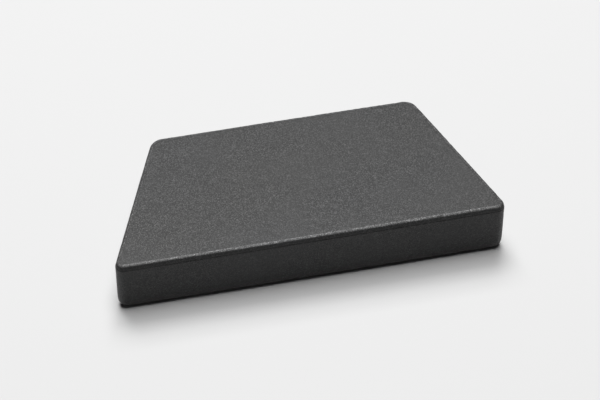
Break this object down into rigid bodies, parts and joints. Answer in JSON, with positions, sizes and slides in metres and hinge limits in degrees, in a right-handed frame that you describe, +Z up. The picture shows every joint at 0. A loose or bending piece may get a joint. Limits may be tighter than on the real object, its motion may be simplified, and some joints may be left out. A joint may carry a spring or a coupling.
{
  "type": "charcoal stick",
  "caption": "Flat trapezoidal block of pressed drawing charcoal, with rounded edges and corners, for drawing with an edge, a corner or a whole face.",
  "frame": {"origin": "under the middle of the block's bounding box, on the surface that it rests on", "axes": "+X along the long side, -Y towards the long side, +Y towards the short side, +Z up through the thickness"},
  "size_m": [0.0588, 0.0236, 0.0101],
  "materials": {
    "charcoal": "matte"
  },
  "bodies": {
    "root": {"charcoal_block": "charcoal"}
  },
  "joints": []
}
